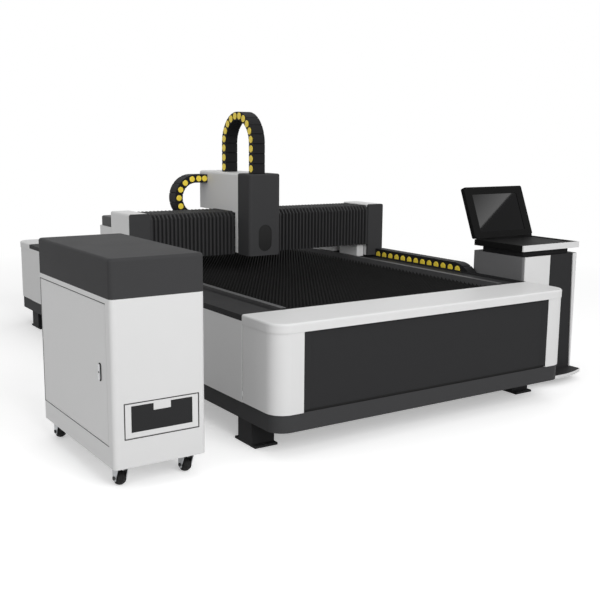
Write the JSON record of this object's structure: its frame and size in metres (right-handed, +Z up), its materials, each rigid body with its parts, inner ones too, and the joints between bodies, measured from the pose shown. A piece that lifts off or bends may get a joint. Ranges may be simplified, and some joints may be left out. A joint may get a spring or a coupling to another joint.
{
  "type": "fiber laser cutting machine",
  "caption": "Open-bed laser cutting machine with a toothed slat table, a travelling gantry with bellows, a wheeled cabinet and an operator console.",
  "frame": {"origin": "on the floor, at the centre of the bed's corner anchor holes", "axes": "+X along the gantry to the operator's right, +Y from the front cover to the rear cover, +Z up"},
  "size_m": [3.7798, 4.52, 1.912],
  "materials": {
    "light_grey_paint": "fine-textured powder coat",
    "dark_grey_paint": "fine-textured powder coat",
    "black_steel": "dull scaled steel",
    "ground_steel": "ground",
    "chain_plastic": "moulded",
    "bellows_fabric": "coated cloth",
    "motor_black": "satin",
    "smoked_plastic": "gloss",
    "copper": "turned",
    "chrome_plate": "satin",
    "caster_steel": "zinc plated",
    "black_rubber": "moulded",
    "black_plastic": "fine grain",
    "screen_glass": "gloss"
  },
  "bodies": {
    "machine_bed": {"base_frame": "dark_grey_paint", "machine_feet": "dark_grey_paint", "plinth": "dark_grey_paint", "front_cover": "light_grey_paint", "front_panel": "dark_grey_paint", "rear_cover": "light_grey_paint", "side_covers": "light_grey_paint", "left_rail_cover": "dark_grey_paint", "right_rail_cover": "dark_grey_paint", "inner_guards": "dark_grey_paint", "y_guides": "ground_steel", "slat_supports": "black_steel", "slats": "black_steel", "slag_tray": "black_steel", "y_chain": "chain_plastic", "cabinet_body": "light_grey_paint", "cabinet_top": "dark_grey_paint", "drawer_runners": "ground_steel", "laser_source": "dark_grey_paint", "console_body": "dark_grey_paint", "console_front_panels": "light_grey_paint", "console_base": "dark_grey_paint", "console_casters": "black_rubber", "console_tray": "black_plastic", "tray_edge": "light_grey_paint"},
    "gantry": {"gantry_beam": "dark_grey_paint", "gantry_saddles": "light_grey_paint", "end_covers": "light_grey_paint", "end_fronts": "dark_grey_paint", "drive_covers": "light_grey_paint", "y_drives": "motor_black", "x_guides": "ground_steel", "x_chain_tray": "dark_grey_paint", "left_bellows": "bellows_fabric", "right_bellows": "bellows_fabric", "x_chain": "chain_plastic"},
    "carriage": {"carriage_plate": "light_grey_paint", "carriage_cover": "light_grey_paint", "x_drive": "motor_black", "z_rails": "ground_steel", "z_chain": "chain_plastic"},
    "cutting_head": {"head_cover": "dark_grey_paint", "head_window": "smoked_plastic", "z_slide": "ground_steel", "laser_head": "ground_steel", "nozzle": "copper"},
    "door": {"cabinet_door": "light_grey_paint"},
    "latch": {"door_latch": "chrome_plate"},
    "drawer": {"cabinet_drawer": "light_grey_paint", "drawer_inset": "dark_grey_paint"},
    "monitor": {"monitor": "black_plastic", "monitor_screen": "screen_glass"},
    "caster_1": {"caster_fork_1": "caster_steel"},
    "wheel_1": {"caster_wheel_1": "black_rubber"},
    "caster_2": {"caster_fork_2": "caster_steel"},
    "wheel_2": {"caster_wheel_2": "black_rubber"},
    "caster_3": {"caster_fork_3": "caster_steel"},
    "wheel_3": {"caster_wheel_3": "black_rubber"},
    "caster_4": {"caster_fork_4": "caster_steel"},
    "wheel_4": {"caster_wheel_4": "black_rubber"}
  },
  "joints": [
    {"name": "gantry_slide", "type": "slide", "parent": "machine_bed", "child": "gantry", "axis": [0, 1, 0], "range_m": [-0.82, 1.68], "deforming": ["y_chain"]},
    {"name": "carriage_slide", "type": "slide", "parent": "gantry", "child": "carriage", "axis": [1, 0, 0], "range_m": [-0.555, 0.855], "deforming": ["left_bellows", "right_bellows", "x_chain"]},
    {"name": "head_slide", "type": "slide", "parent": "carriage", "child": "cutting_head", "axis": [0, 0, 1], "range_m": [-0.1, 0.03], "deforming": ["z_chain"]},
    {"name": "door_hinge", "type": "hinge", "parent": "machine_bed", "child": "door", "pos_m": [-2.031, -1.19, 0.585], "axis": [0, 0, -1], "range_deg": [0, 95]},
    {"name": "latch_turn", "type": "hinge", "parent": "door", "child": "latch", "pos_m": [-2.041, -2.053, 0.588], "axis": [1, 0, 0], "range_deg": [0, 90]},
    {"name": "drawer_slide", "type": "slide", "parent": "machine_bed", "child": "drawer", "axis": [0, -1, 0], "range_m": [0, 0.35]},
    {"name": "monitor_hinge", "type": "hinge", "parent": "machine_bed", "child": "monitor", "pos_m": [1.429, -1.387, 1.009], "axis": [1, 0, 0], "range_deg": [-8, 110]},
    {"name": "caster_swivel_1", "type": "hinge", "parent": "machine_bed", "child": "caster_1", "pos_m": [-1.971, -2.117, 0.118], "axis": [0, 0, 1], "continuous": true},
    {"name": "wheel_spin_1", "type": "hinge", "parent": "caster_1", "child": "wheel_1", "pos_m": [-1.971, -2.093, 0.038], "axis": [1, 0, 0], "continuous": true},
    {"name": "caster_swivel_2", "type": "hinge", "parent": "machine_bed", "child": "caster_2", "pos_m": [-1.971, -1.237, 0.118], "axis": [0, 0, 1], "continuous": true},
    {"name": "wheel_spin_2", "type": "hinge", "parent": "caster_2", "child": "wheel_2", "pos_m": [-1.971, -1.213, 0.038], "axis": [1, 0, 0], "continuous": true},
    {"name": "caster_swivel_3", "type": "hinge", "parent": "machine_bed", "child": "caster_3", "pos_m": [-1.604, -2.117, 0.118], "axis": [0, 0, 1], "continuous": true},
    {"name": "wheel_spin_3", "type": "hinge", "parent": "caster_3", "child": "wheel_3", "pos_m": [-1.604, -2.093, 0.038], "axis": [1, 0, 0], "continuous": true},
    {"name": "caster_swivel_4", "type": "hinge", "parent": "machine_bed", "child": "caster_4", "pos_m": [-1.604, -1.237, 0.118], "axis": [0, 0, 1], "continuous": true},
    {"name": "wheel_spin_4", "type": "hinge", "parent": "caster_4", "child": "wheel_4", "pos_m": [-1.604, -1.213, 0.038], "axis": [1, 0, 0], "continuous": true}
  ]
}
